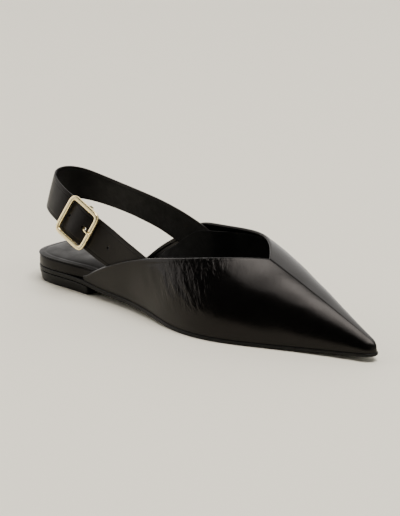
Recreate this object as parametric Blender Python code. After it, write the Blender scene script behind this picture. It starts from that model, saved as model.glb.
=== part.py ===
"""A right-foot pointed slingback flat: sole, heel, footbed, insole, vamp, sling straps and buckle.

In the tables lengths run from the back of the heel to the toe, sideways from the foot's axis
(lateral is -y, medial is +y) and up from the floor, all in millimetres.
"""
import math

import bmesh
import bpy
import numpy as np
from mathutils import Vector

MM = 0.001

# Driving dimensions
LENGTH = 266 * MM
HEEL_ROUND = 27 * MM
HEEL_POWER = 2.8
TOE_ROUND = 5 * MM
NOSE_DROP = 0.45
GAP = 0.3 * MM
FAIRING = 9 * MM
FOOT_AXIS = 3.05 * MM

# Sole layers
HEEL_LENGTH = 58 * MM
HEEL_TAPER = 1.3 * MM
HEEL_EDGE = 0.6 * MM
BREAST_ROUND = 2 * MM
SOLE_EDGE = 0.9 * MM
FOOTBED_LENGTH = 236 * MM
FOOTBED_EDGE = 1.2 * MM
INSOLE_LENGTH = 240 * MM
INSOLE_RIM = 1.4 * MM
INSOLE_DISH = 0.8 * MM
DISH_POWER = 0.6
INNER_ROUND = 12 * MM

# Vamp
VAMP_REAR = 53 * MM
VAMP_SET_IN = 0.5 * MM
VAMP_WALL = 1.6 * MM
VAMP_THROAT = 187 * MM
TOE_WALL = 3.0 * MM
TOE_WALL_REACH = 45 * MM
NOSE_RISE = 0.65
WALL_RISE = {"lateral": 0.55, "medial": 0.85}
SHOULDER = {"lateral": 0.55, "medial": 0.9}
REAR_SECTIONS = 24
FRONT_SECTIONS = 14
NOSE_SECTIONS = 5
VAMP_ROWS = 11

# Straps
STRAP_THICKNESS = 1.6 * MM
STRAP_EDGE = 0.45 * MM
STRAP_STEP = 5 * MM
FOLD_STEP = 3 * MM
FOLD_TURNS = 8
FRONT_STEP = 2.2 * MM
BUCKLE_REACH = (-40 * MM, 20 * MM)
LAYER_FAIRING = 2.5 * MM

# Buckle
FRAME_ALONG = 27.4 * MM
FRAME_ACROSS = 27.5 * MM
FRAME_BAR = 2.9 * MM
FRAME_THICK = 2.2 * MM
FRAME_LIFT = 2.0 * MM
FRAME_CORNER = 2.5 * MM
FRAME_EDGE = 0.6 * MM
CORNER_STEPS = 4
POST_HALF = 1.3 * MM
POST_SPAN = (1.2 * MM, 2.7 * MM)
POST_BELOW = 1.25 * MM
BAR_RADIUS = 1.0 * MM
BAR_SIDES = 12
EYE_START = 20
EYE_TURN = 290
EYE_STEPS = 10
PRONG_RADIUS = 0.8 * MM
PRONG_TIP = 0.75
PRONG_SIDES = 8


def table(names, rows):
    """Return one smooth curve of x for each named column of a table in millimetres."""
    columns = np.array(rows, dtype=float).T * MM
    return {name: faired(columns[0], column) for name, column in zip(names.split(), columns)}


def faired(stations, values, reach=FAIRING, taps=9):
    """Return a curve through the rows, smoothed over a short window."""
    steps = np.linspace(-reach, reach, taps + 2)[1:-1]
    shares = 1.0 - np.abs(steps) / reach
    shares = shares / shares.sum()

    def curve(x):
        return float(np.dot(shares, np.interp(x + steps, stations, values)))

    return curve


# Sole: distances of its edge from the axis, height of its tread and its thickness
SOLE = table("x lateral medial tread thick", (
    (-20, 25.2, 25.2, 7.0, 3.0),
    (40, 25.2, 25.0, 7.0, 3.0),
    (52, 25.4, 24.4, 6.8, 3.0),
    (62, 26.2, 23.6, 5.0, 3.1),
    (80, 26.8, 21.8, 3.9, 3.1),
    (97, 28.2, 20.8, 3.4, 3.0),
    (114, 31.4, 21.6, 2.5, 2.9),
    (131, 35.8, 25.2, 1.1, 2.7),
    (143, 38.0, 28.6, 0.0, 2.5),
    (155, 38.8, 31.4, 0.0, 2.5),
    (168, 37.6, 32.8, 0.0, 2.5),
    (180, 34.4, 32.0, 0.0, 2.5),
    (192, 29.6, 29.4, 0.0, 2.5),
    (205, 23.8, 25.0, 0.3, 2.4),
    (220, 17.4, 20.0, 0.9, 2.2),
    (235, 11.6, 15.4, 1.5, 2.1),
    (250, 6.4, 11.0, 2.3, 2.0),
    (266, 1.8, 6.8, 3.4, 2.0),
    (286, -4.0, 1.6, 5.0, 2.0),
))

# Top of the footbed and of the insole over the floor, and how far their sides lie inside the sole's edge
BED = table("x footbed insole tuck", (
    (-20, 17.0, 19.8, 0.2),
    (32, 17.0, 19.8, 0.2),
    (42, 17.0, 19.8, 0.8),
    (52, 16.8, 19.6, 2.8),
    (66, 15.6, 18.4, 3.0),
    (80, 13.4, 16.2, 3.0),
    (97, 11.2, 13.8, 3.0),
    (114, 9.0, 11.4, 3.0),
    (131, 6.8, 9.0, 3.0),
    (150, 4.8, 6.8, 3.0),
    (190, 4.6, 6.4, 3.0),
    (220, 4.9, 6.5, 3.4),
    (260, 7.0, 8.4, 4.0),
))

# Last: height of the ridge, how far each wall leans out and how far each shoulder drops from the ridge
LAST = table("x ridge lateral_lean medial_lean lateral_drop medial_drop", (
    (40, 88.0, 4.0, 8.0, 10.0, 3.0),
    (75, 82.0, 8.0, 14.0, 10.0, 3.0),
    (105, 76.0, 5.0, 15.0, 9.0, 3.0),
    (135, 67.5, 2.0, 7.0, 8.5, 2.0),
    (160, 58.0, 0.5, 2.0, 9.0, 0.5),
    (186, 46.5, 0.0, 0.5, 8.0, 0.0),
    (205, 38.3, 0.0, 1.5, 4.4, 0.3),
    (225, 29.4, 0.0, 2.5, 3.0, 0.5),
    (245, 20.2, 0.0, -0.5, 2.0, 0.5),
    (265, 11.0, 0.0, -2.0, 1.0, 0.4),
    (285, 2.0, 0.0, -2.0, 0.5, 0.2),
))

# Topline: height of the vamp's upper edge on each side
TOPLINE = table("x lateral medial", (
    (42, 4.0, -4.0),
    (52, 10.4, 6.0),
    (63, 17.0, 16.0),
    (75, 23.2, 26.4),
    (90, 29.4, 35.4),
    (98, 32.2, 41.6),
    (106, 34.8, 47.4),
    (114, 37.0, 49.0),
    (126, 40.0, 49.6),
    (142, 43.0, 50.6),
    (158, 45.4, 51.4),
    (172, 46.6, 51.0),
    (187, 46.6, 46.6),
    (200, 42.0, 42.0),
))

# Strap: x, y and z of its middle line from the medial side round the heel to the lateral side, its
# width and its inward lean in degrees
STRAP_ROWS = (
    (116, 21.7, 35.0, 21.3, 0),
    (104, 21.8, 39.4, 21.3, 0),
    (90, 21.8, 43.9, 21.3, 3),
    (74, 22.2, 47.8, 21.3, 10),
    (50, 22.2, 51.5, 21.7, 16),
    (31, 21.6, 54.0, 21.9, 16),
    (17, 17.4, 57.0, 22.0, 15),
    (9.6, 9.4, 59.8, 22.4, 13),
    (7.4, 0.0, 61.4, 22.6, 13),
    (9.2, -10.4, 61.2, 22.2, 13),
    (17, -18.8, 59.2, 21.4, 16),
    (32, -24.2, 55.0, 20.6, 18),
    (51.5, -26.0, 47.2, 21.0, 18),
    (69, -25.7, 38.9, 23.8, 9),
    (80, -24.6, 34.1, 24.4, 0),
    (90, -24.6, 30.2, 24.4, 0),
    (105, -25.0, 26.6, 18.0, 0),
)

BUCKLE_ROW = 12

# Layers at the buckle: places along the strap from the buckle's middle bar, and out from its middle line
BACK_OFFSETS = ((-40, 0.0), (-24, -0.2), (-14, -1.2), (-9, -1.1), (-4, -0.2), (4, 0.0))
FOLD_OFFSETS = ((-17, -2.9), (-13, -3.1), (-9, -3.1), (-4, -3.5), (0, -4.2))
FRONT_OFFSETS = (
    (-14, 0.75), (-10, 0.85), (-6, 1.6), (-2, 2.0), (3, 2.0), (6, 1.4), (10, 0.5), (15, 0.1), (22, 0.0),
)
FRONT_TAIL = -13.4 * MM
FOLD_TAIL = -16 * MM
PRONG_ROUTE = ((2.4, -0.3), (4.6, 0.2), (6.3, 2.4), (8.4, 4.6), (11.4, 5.4), (12.7, 5.4), (14.2, 5.1))
SLOT_REACH = (-4.5 * MM, 5 * MM)
SLOT_DEPTH = (-8 * MM, 1.1 * MM)
SLOT_WIDTH = 3.2 * MM
HOLE_REACH = (3.4 * MM, 8.4 * MM)
HOLE_DEPTH = (-2 * MM, 4 * MM)
HOLE_WIDTH = 2.4 * MM
SPARE_HOLE = 27 * MM
SPARE_HOLE_RADIUS = 1.1 * MM
SPARE_HOLE_SIDES = 10


def clear_scene():
    for thing in list(bpy.data.objects):
        bpy.data.objects.remove(thing, do_unlink=True)


def material(name, colour, roughness, metallic=0.0):
    made = bpy.data.materials.new(name)
    made.use_nodes = True
    shader = made.node_tree.nodes["Principled BSDF"]
    shader.inputs["Base Color"].default_value = (*colour, 1.0)
    shader.inputs["Roughness"].default_value = roughness
    shader.inputs["Metallic"].default_value = metallic
    return made


def add_object(name, shape, finish, parent, smooth=35):
    """Make an object of a bmesh, with its faces outwards, under the shoe's empty."""
    bmesh.ops.recalc_face_normals(shape, faces=shape.faces)
    if shape.calc_volume(signed=True) < 0:
        bmesh.ops.reverse_faces(shape, faces=shape.faces)
    mesh = bpy.data.meshes.new(name)
    shape.to_mesh(mesh)
    shape.free()
    mesh.shade_smooth()
    mesh.set_sharp_from_angle(angle=math.radians(smooth))
    mesh.materials.append(finish)
    made = bpy.data.objects.new(name, mesh)
    bpy.context.collection.objects.link(made)
    made.parent = parent
    return made


def add_cutter(name, shape, target, parent, operation="DIFFERENCE"):
    """Cut a helper shape from an object, or join it on."""
    helper = add_object(name, shape, target.data.materials[0], parent)
    helper.hide_render = True
    helper.display_type = "WIRE"
    cut = target.modifiers.new(name, "BOOLEAN")
    cut.operation = operation
    cut.object = helper
    return helper


# Outline of the sole and its layers


def end_factor(distance, reach, power=2.0):
    """Share of the full width at a distance from a rounded end."""
    if distance >= reach:
        return 1.0
    return max(0.0, 1.0 - (1.0 - max(distance, 0.0) / reach) ** power) ** (1.0 / power)


def outline(x, inset=0.0):
    """Middle and half width of the sole's plan, before its ends are rounded."""
    lateral = SOLE["lateral"](x)
    medial = SOLE["medial"](x)
    return (medial - lateral) / 2, (medial + lateral) / 2 - inset


def stations(back, front, back_round, front_round, step=8 * MM, turns=7):
    """Places along a plan, close together where its ends turn."""
    turn = [1.0 - math.cos(math.pi / 2 * i / turns) for i in range(turns + 1)]
    middle = max(1, round((front - front_round - back - back_round) / step))
    start = [back + back_round * t for t in turn]
    end = [front - front_round * t for t in reversed(turn)]
    inner = np.linspace(start[-1], end[0], middle + 1)[1:-1]
    return start + [float(x) for x in inner] + end


def plan_ring(places, inset, height, front_round):
    """Lateral and medial points of one level of a plan, end points included in both."""
    back, front = places[0], places[-1]
    lateral, medial = [], []
    for x in places:
        share = end_factor(x - back, HEEL_ROUND, HEEL_POWER) * end_factor(front - x, front_round)
        middle, half = outline(x, inset(x))
        along = x + inset(x) * (1.0 - 2.0 * (x - back) / (front - back))
        lateral.append(Vector((along, middle - half * share, height(x))))
        medial.append(Vector((along, middle + half * share, height(x))))
    return lateral, medial


def add_layer(name, finish, parent, front, front_round, levels, dish=0.0, lines=1):
    """Make one layer of the sole from its levels, each an inset and a height along the foot."""
    places = stations(0.0, front, HEEL_ROUND, front_round)
    shape = bmesh.new()
    rings = []
    for inset, height in levels:
        lateral, medial = plan_ring(places, inset, height, front_round)
        loop = lateral + medial[-2:0:-1]
        rings.append([shape.verts.new(point) for point in loop])
    for low, high in zip(rings, rings[1:]):
        bridge(shape, low, high)
    cap(shape, rings[0], len(places), 0.0, 1)
    cap(shape, rings[-1], len(places), dish, lines)
    return add_object(name, shape, finish, parent)


def bridge(shape, low, high, closed=True):
    """Join two rows of points with quads."""
    count = len(low)
    for i in range(count if closed else count - 1):
        j = (i + 1) % count
        shape.faces.new((low[i], low[j], high[j], high[i]))


def cap(shape, ring, count, dish, lines):
    """Close a level with strips across it, dished along its inner lines."""
    rows = []
    for i in range(count):
        lateral = ring[i]
        medial = ring[-i] if 0 < i < count - 1 else lateral
        if medial is lateral:
            rows.append([lateral])
            continue
        row = [lateral]
        narrow = min(1.0, (medial.co - lateral.co).length / HEEL_ROUND)
        for k in range(1, lines):
            across = k / lines
            point = lateral.co.lerp(medial.co, across)
            depth = dish * narrow * math.sin(math.pi * across) ** DISH_POWER
            row.append(shape.verts.new(point - Vector((0, 0, depth))))
        rows.append(row + [medial])
    for first, second in zip(rows, rows[1:]):
        if len(first) == 1 or len(second) == 1:
            point, row = (first[0], second) if len(first) == 1 else (second[0], first)
            for a, b in zip(row, row[1:]):
                shape.faces.new((point, a, b))
        else:
            bridge(shape, first, second, closed=False)


# Vamp: a wall over the last


def sole_top(x):
    return SOLE["tread"](x) + SOLE["thick"](x)


def last_point(x, side, rise, inset=0.0):
    """Point of a section of the last: rise runs from the sole's edge, 0, to the ridge, 1."""
    share = end_factor(LENGTH - VAMP_SET_IN - x, TOE_ROUND)
    middle, half = outline(x, VAMP_SET_IN + inset)
    half *= share
    foot = sole_top(x) + GAP
    height = (LAST["ridge"](x) - foot - inset) * (1.0 - NOSE_DROP * (1.0 - share))
    lean = LAST[side + "_lean"](x) * share
    drop = LAST[side + "_drop"](x) * share
    wall = NOSE_RISE + (WALL_RISE[side] - NOSE_RISE) * share
    across = (half, half + lean, SHOULDER[side] * half, 0.0)
    up = (0.0, wall * height, height - drop, height)
    weights = ((1 - rise) ** 3, 3 * rise * (1 - rise) ** 2, 3 * rise ** 2 * (1 - rise), rise ** 3)
    sign = -1.0 if side == "lateral" else 1.0
    pull = max(0.0, 1.0 - (LENGTH - x) / TOE_WALL_REACH) ** 2
    along = x - (TOE_WALL * pull if inset else 0.0)
    return Vector((
        along,
        middle + sign * sum(w * a for w, a in zip(weights, across)),
        foot + sum(w * u for w, u in zip(weights, up)),
    ))


def rise_at(x, side, height):
    """Rise at which a section of the last reaches a height."""
    low, high = 0.0, 1.0
    for _ in range(40):
        half = (low + high) / 2
        if last_point(x, side, half).z < height:
            low = half
        else:
            high = half
    return low


def vamp_places():
    """Places of the vamp's sections, the throat's point among them."""
    rear = np.linspace(VAMP_REAR, VAMP_THROAT, REAR_SECTIONS)
    tip = LENGTH - VAMP_SET_IN
    front = np.linspace(VAMP_THROAT, tip - TOE_ROUND, FRONT_SECTIONS)[1:]
    turns = [math.pi / 2 * i / NOSE_SECTIONS for i in range(1, NOSE_SECTIONS + 1)]
    nose = [tip - TOE_ROUND * (1.0 - math.sin(turn)) for turn in turns]
    return [float(x) for x in rear] + [float(x) for x in front] + nose


def add_vamp(finish, parent):
    """Make the hollow vamp: outer and inner wall of both sides, joined round its open edges."""
    shape = bmesh.new()
    places = vamp_places()
    for side in ("lateral", "medial"):
        tops = [1.0 if x >= VAMP_THROAT else rise_at(x, side, TOPLINE[side](x)) for x in places]
        walls = []
        for inset in (0.0, VAMP_WALL):
            columns = []
            for x, top in zip(places, tops):
                rises = [top * j / VAMP_ROWS for j in range(VAMP_ROWS + 1)]
                points = [last_point(x, side, rise, inset) for rise in rises]
                columns.append([shape.verts.new(point) for point in points])
            for first, second in zip(columns, columns[1:]):
                bridge(shape, first, second, closed=False)
            walls.append(columns)
        outer, inner = walls
        throat = sum(1 for x in places if x < VAMP_THROAT) + 1
        bridge(shape, [c[0] for c in outer], [c[0] for c in inner], closed=False)
        bridge(shape, [c[-1] for c in outer[:throat]], [c[-1] for c in inner[:throat]], closed=False)
        bridge(shape, outer[0], inner[0], closed=False)
    bmesh.ops.remove_doubles(shape, verts=shape.verts, dist=1e-7)
    return add_object("vamp", shape, finish, parent, smooth=50)


# Straps


class StrapLine:
    """The strap's middle line with its frame, measured along from the buckle's middle bar."""

    def __init__(self):
        rows = np.array(STRAP_ROWS, dtype=float)
        points = rows[:, :3] * MM
        lengths = np.concatenate(([0.0], np.cumsum(np.linalg.norm(np.diff(points, axis=0), axis=1))))
        lengths -= lengths[BUCKLE_ROW]
        self.start = float(lengths[0])
        self.end = float(lengths[-1])
        columns = [points[:, 0], points[:, 1], points[:, 2], rows[:, 3] * MM, np.radians(rows[:, 4])]
        self.curves = [faired(lengths, column) for column in columns]

    def place(self, along):
        return Vector([curve(along) for curve in self.curves[:3]])

    def width(self, along):
        return self.curves[3](along)

    def frame(self, along):
        """Directions along the strap, across it and out of it."""
        step = 0.5 * MM
        ahead = (self.place(along + step) - self.place(along - step)).normalized()
        up = Vector((0, 0, 1))
        across = (up - ahead * up.dot(ahead)).normalized()
        out = ahead.cross(across)
        lean = self.curves[4](along)
        leaning = across * math.cos(lean) - out * math.sin(lean)
        return ahead, leaning, ahead.cross(leaning)


def offset_curve(rows):
    """Offset of a layer from the strap's middle line, along from the buckle."""
    xs, ys = np.array(rows, dtype=float).T * MM
    return faired(xs, ys, reach=LAYER_FAIRING)


def strap_section(place, across, out, width):
    """Corners of a strap's section, with broken edges."""
    half, thick, edge = width / 2, STRAP_THICKNESS / 2, STRAP_EDGE
    corners = (
        (half - edge, thick), (half, thick - edge), (half, edge - thick), (half - edge, -thick),
        (edge - half, -thick), (-half, edge - thick), (-half, thick - edge), (edge - half, thick),
    )
    return [place + across * a + out * o for a, o in corners]


def add_ribbon(name, sections, finish, parent):
    """Make a strap through its sections, with flat ends."""
    shape = bmesh.new()
    rings = [[shape.verts.new(point) for point in section] for section in sections]
    for low, high in zip(rings, rings[1:]):
        bridge(shape, low, high)
    shape.faces.new(rings[0])
    shape.faces.new(rings[-1])
    return add_object(name, shape, finish, parent)


def layer_sections(line, places, offset):
    """Sections of a strap layer at its places along the line."""
    sections = []
    for along in places:
        _, across, out = line.frame(along)
        place = line.place(along) + out * offset(along)
        sections.append(strap_section(place, across, out, line.width(along)))
    return sections


def spaced(start, end, step):
    return [float(x) for x in np.linspace(start, end, max(2, round(abs(end - start) / step) + 1))]


def buckle_box(line, along, across, out):
    """Box in the buckle's own directions, from its lowest and highest reach in each."""
    ahead, up, outward = line.frame(0.0)
    centre = line.place(0.0)
    shape = bmesh.new()
    bmesh.ops.create_cube(shape, size=1.0)
    spans = (along, across, out)
    for vert in shape.verts:
        reach = [low + (c + 0.5) * (high - low) for c, (low, high) in zip(vert.co, spans)]
        vert.co = centre + ahead * reach[0] + up * reach[1] + outward * reach[2]
    return shape


def turn_radius():
    """Radius of the fold's middle as it goes round the bar."""
    return BAR_RADIUS + GAP + STRAP_THICKNESS / 2


def add_back_strap(line, finish, parent):
    """Make the sling strap, with its end folded round the buckle's bar and slit for the prong."""
    offset = offset_curve(BACK_OFFSETS)
    fold = offset_curve(FOLD_OFFSETS)
    places = spaced(line.start, BUCKLE_REACH[0], STRAP_STEP)
    places += spaced(BUCKLE_REACH[0], 0.0, FOLD_STEP)[1:]
    sections = layer_sections(line, places, offset)
    radius = turn_radius()
    ahead, across, out = line.frame(0.0)
    centre = bar_centre(line)
    for i in range(1, FOLD_TURNS):
        angle = math.pi / 2 - math.pi * i / FOLD_TURNS
        away = ahead * math.cos(angle) + out * math.sin(angle)
        sections.append(strap_section(centre + away * radius, across, away, line.width(0.0)))
    for along in spaced(0.0, FOLD_TAIL, FOLD_STEP):
        _, across, out = line.frame(along)
        place = line.place(along) + out * fold(along)
        sections.append(strap_section(place, across, -out, line.width(along)))
    strap = add_ribbon("strap_back", sections, finish, parent)
    half = SLOT_WIDTH / 2
    slot = buckle_box(line, SLOT_REACH, (-half, half), SLOT_DEPTH)
    add_cutter("prong_slot", slot, strap, parent)
    return strap


def add_front_strap(line, finish, parent):
    """Make the short strap from the lateral wall through the buckle, with its two holes."""
    offset = offset_curve(FRONT_OFFSETS)
    places = spaced(FRONT_TAIL, BUCKLE_REACH[1], FRONT_STEP)
    places += spaced(BUCKLE_REACH[1], line.end, STRAP_STEP)[1:]
    strap = add_ribbon("strap_front", layer_sections(line, places, offset), finish, parent)
    half = HOLE_WIDTH / 2
    hole = buckle_box(line, HOLE_REACH, (-half, half), HOLE_DEPTH)
    add_cutter("prong_hole", hole, strap, parent)
    _, _, out = line.frame(SPARE_HOLE)
    spare = rod(line.place(SPARE_HOLE), out, 2 * STRAP_THICKNESS, SPARE_HOLE_RADIUS, SPARE_HOLE_SIDES)
    add_cutter("spare_hole", spare, strap, parent)
    return strap


def rod(centre, axis, half_length, radius, sides):
    """Closed cylinder about a point."""
    shape = bmesh.new()
    side = axis.orthogonal().normalized()
    other = axis.cross(side).normalized()
    rings = []
    for end in (-half_length, half_length):
        ring = []
        for i in range(sides):
            angle = 2 * math.pi * i / sides
            ring.append(shape.verts.new(
                centre + axis * end + (side * math.cos(angle) + other * math.sin(angle)) * radius))
        rings.append(ring)
    bridge(shape, *rings)
    shape.faces.new(rings[0])
    shape.faces.new(rings[1])
    return shape


# Buckle


def bar_offset():
    """How far the middle bar's axis lies out from the strap's middle line."""
    return offset_curve(BACK_OFFSETS)(0.0) - turn_radius()


def bar_centre(line):
    _, _, out = line.frame(0.0)
    return line.place(0.0) + out * bar_offset()


def add_buckle_frame(line, finish, parent):
    """Make the square frame with rounded corners and its middle bar on two posts."""
    ahead, across, out = line.frame(0.0)
    centre = line.place(0.0) + out * (FRAME_LIFT + FRAME_THICK / 2)
    half_bar, half_thick, edge = FRAME_BAR / 2, FRAME_THICK / 2, FRAME_EDGE
    profile = (
        (half_bar - edge, half_thick), (half_bar, half_thick - edge), (half_bar, edge - half_thick),
        (half_bar - edge, -half_thick), (edge - half_bar, -half_thick), (-half_bar, edge - half_thick),
        (-half_bar, half_thick - edge), (edge - half_bar, half_thick),
    )
    reach = (FRAME_ALONG / 2 - half_bar - FRAME_CORNER, FRAME_ACROSS / 2 - half_bar - FRAME_CORNER)
    shape = bmesh.new()
    rings = []
    for quarter, (sx, sy) in enumerate(((1, 1), (-1, 1), (-1, -1), (1, -1))):
        for i in range(CORNER_STEPS + 1):
            angle = math.pi / 2 * (quarter + i / CORNER_STEPS)
            away = ahead * math.cos(angle) + across * math.sin(angle)
            corner = centre + ahead * (sx * reach[0]) + across * (sy * reach[1]) + away * FRAME_CORNER
            rings.append([shape.verts.new(corner + away * a + out * o) for a, o in profile])
    for low, high in zip(rings, rings[1:] + rings[:1]):
        bridge(shape, low, high)
    frame = add_object("buckle_frame", shape, finish, parent)
    rail = FRAME_ACROSS / 2
    depth = (bar_offset() - POST_BELOW, FRAME_LIFT + half_thick)
    for name, sign in (("upper_post", 1), ("lower_post", -1)):
        span = sorted(sign * (rail - inward) for inward in POST_SPAN)
        post = buckle_box(line, (-POST_HALF, POST_HALF), span, depth)
        add_cutter(name, post, frame, parent, "UNION")
    bar = rod(bar_centre(line), across, rail - half_bar, BAR_RADIUS, BAR_SIDES)
    add_cutter("middle_bar", bar, frame, parent, "UNION")
    return frame


def add_prong(line, finish, parent):
    """Make the prong: an eye round the bar, a shank up through the strap's hole and its tip on the frame."""
    ahead, across, out = line.frame(0.0)
    eye = bar_centre(line)
    radius = BAR_RADIUS + GAP + PRONG_RADIUS
    points = []
    for i in range(EYE_STEPS + 1):
        angle = math.radians(EYE_START - EYE_TURN * i / EYE_STEPS)
        points.append(eye + (ahead * math.cos(angle) + out * math.sin(angle)) * radius)
    base = line.place(0.0)
    for along, lift in PRONG_ROUTE:
        points.append(base + ahead * (along * MM) + out * (lift * MM))
    shape = bmesh.new()
    rings = []
    for i, point in enumerate(points):
        before = points[max(i - 1, 0)]
        after = points[min(i + 1, len(points) - 1)]
        along = (after - before).normalized()
        side = across.cross(along).normalized()
        size = PRONG_RADIUS * (PRONG_TIP if i == len(points) - 1 else 1.0)
        ring = []
        for k in range(PRONG_SIDES):
            angle = 2 * math.pi * k / PRONG_SIDES
            ring.append(shape.verts.new(point + (across * math.cos(angle) + side * math.sin(angle)) * size))
        rings.append(ring)
    for low, high in zip(rings, rings[1:]):
        bridge(shape, low, high)
    shape.faces.new(rings[0])
    shape.faces.new(rings[-1])
    return add_object("buckle_prong", shape, finish, parent)


def build():
    clear_scene()
    leather = material("black_leather", (0.012, 0.012, 0.013), 0.28)
    strap_leather = material("strap_leather", (0.02, 0.02, 0.021), 0.42)
    rubber = material("black_sole", (0.015, 0.015, 0.015), 0.55)
    sock = material("insole_leather", (0.025, 0.024, 0.023), 0.45)
    gold = material("pale_gold", (0.83, 0.72, 0.48), 0.22, 1.0)
    shoe = bpy.data.objects.new("shoe", None)
    bpy.context.collection.objects.link(shoe)
    shoe.location = (-LENGTH / 2, FOOT_AXIS, 0.0)

    tread = SOLE["tread"]
    bed = BED["footbed"]
    tuck = BED["tuck"]
    add_layer("outsole", rubber, shoe, LENGTH, TOE_ROUND, (
        (lambda x: SOLE_EDGE, tread),
        (lambda x: 0.0, lambda x: tread(x) + SOLE_EDGE),
        (lambda x: 0.0, sole_top),
    ))
    add_layer("heel", rubber, shoe, HEEL_LENGTH, BREAST_ROUND, (
        (lambda x: HEEL_TAPER + HEEL_EDGE, lambda x: 0.0),
        (lambda x: HEEL_TAPER, lambda x: HEEL_EDGE),
        (lambda x: HEEL_EDGE / 4, lambda x: tread(x) - GAP),
    ))
    add_layer("footbed", leather, shoe, FOOTBED_LENGTH, INNER_ROUND, (
        (tuck, lambda x: sole_top(x) + GAP),
        (tuck, lambda x: bed(x) - FOOTBED_EDGE),
        (lambda x: tuck(x) + FOOTBED_EDGE / 2, bed),
    ))
    add_layer("insole", sock, shoe, INSOLE_LENGTH, INNER_ROUND, (
        (lambda x: tuck(x) + INSOLE_RIM / 2, lambda x: bed(x) + GAP),
        (lambda x: tuck(x) - INSOLE_RIM / 4, lambda x: bed(x) + GAP + INSOLE_RIM / 2),
        (lambda x: tuck(x) - INSOLE_RIM / 4, lambda x: BED["insole"](x) - INSOLE_RIM / 2),
        (lambda x: tuck(x) + INSOLE_RIM / 2, BED["insole"]),
    ), dish=INSOLE_DISH, lines=6)
    add_vamp(leather, shoe)
    line = StrapLine()
    add_back_strap(line, strap_leather, shoe)
    add_front_strap(line, strap_leather, shoe)
    add_buckle_frame(line, gold, shoe)
    add_prong(line, gold, shoe)


build()
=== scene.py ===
"""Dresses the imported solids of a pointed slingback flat: smooth sole, leather vamp, sling straps and buckle.

The tables are in millimetres: x runs from the back of the heel to the toe, lateral is -y and z is up.
"""
import math

import bmesh
import bpy
import numpy as np
from bpy.props import FloatProperty, FloatVectorProperty, PointerProperty
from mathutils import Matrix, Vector


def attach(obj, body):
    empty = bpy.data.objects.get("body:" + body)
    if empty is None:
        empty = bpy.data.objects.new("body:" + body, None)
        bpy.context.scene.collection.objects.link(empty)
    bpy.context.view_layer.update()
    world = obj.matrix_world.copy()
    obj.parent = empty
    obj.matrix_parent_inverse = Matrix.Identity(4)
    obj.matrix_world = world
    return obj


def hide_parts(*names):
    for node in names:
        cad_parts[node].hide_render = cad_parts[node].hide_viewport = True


bl_info = {
    "name": "Pointed slingback flat",
    "version": (1, 0, 0),
    "blender": (4, 5, 0),
    "location": "View3D > Sidebar > Shoe",
    "description": "Dresses the packed solids of a pointed slingback flat with leather, straps and buckle",
    "category": "Object",
}

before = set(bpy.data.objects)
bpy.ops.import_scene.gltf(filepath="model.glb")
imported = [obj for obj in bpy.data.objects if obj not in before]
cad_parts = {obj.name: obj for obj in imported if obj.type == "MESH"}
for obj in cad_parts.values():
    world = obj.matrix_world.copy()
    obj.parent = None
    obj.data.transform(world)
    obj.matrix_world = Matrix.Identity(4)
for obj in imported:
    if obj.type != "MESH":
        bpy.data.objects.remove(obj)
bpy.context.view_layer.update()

MM = 0.001
MERGE = 2e-7

# The shoe's own sizes
LENGTH = 266.0
FOOT_AXIS = 3.05
HEEL_ROUND = 27.0
HEEL_POWER = 2.8
TOE_ROUND = 5.0
NOSE_DROP = 0.45
GAP = 0.3
HEEL_LENGTH = 58.0
HEEL_HEIGHT = 7.0
HEEL_TAPER = 1.3
HEEL_SET_IN = 0.1
BREAST_ROUND = 2.0
FOOTBED_LENGTH = 236.0
INSOLE_LENGTH = 240.0
INSOLE_OVERHANG = 0.35
INNER_ROUND = 12.0
VAMP_REAR = 53.0
VAMP_SET_IN = 0.5
VAMP_WALL = 1.6
VAMP_THROAT = 187.0
LINING_SET_IN = 0.05
LINING_DROP = 2.6
LINING_THROAT = 1.4
TOE_WALL = 3.0
TOE_WALL_REACH = 45.0
NOSE_RISE = 0.65
WALL_RISE = {"lateral": 0.55, "medial": 0.85}
SHOULDER = {"lateral": 0.55, "medial": 0.9}
SIDE = {"lateral": -1.0, "medial": 1.0}
STRAP_THICKNESS = 1.6
STRAP_FAIRING = 13.0
STRAP_LINING_MARGIN = 1.7
STRAP_LAYER_GAP = 0.03
FRAME_ALONG = 27.4
FRAME_ACROSS = 27.5
FRAME_BAR = 2.9
FRAME_THICK = 2.2
FRAME_LIFT = 2.0
FRAME_POWER = 8.0
FRAME_CROWDING = 0.2
POST_HALF = 1.2
POST_SPAN = (1.2, 2.7)
POST_BELOW = 1.25
BAR_RADIUS = 1.0
BAR_SET_IN = 0.2
PRONG_RADIUS = 0.8
PRONG_FAIRING = 1.1

# Camera, floor and softbox, in metres: the softbox's place is away from the camera, to its right and up
CAMERA_PLACE = (0.7747, -0.8345, 0.3845)
CAMERA_TARGET = (0.0, 0.0, 0.036)
CAMERA_CLIP = (0.05, 30.0)
SENSOR_WIDTH = 36.0
AWAY = (-0.6803, 0.7329, 0.0)
RIGHT = (0.7329, 0.6803, 0.0)
FLOOR_RADIUS = 4.0
FLOOR_SIDES = 96
SOFTBOX_SIZE = (1.86, 1.48)
SOFTBOX_PLACE = (-0.38, 0.78, 3.1)
EVEN_LIGHT = 0.02

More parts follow.
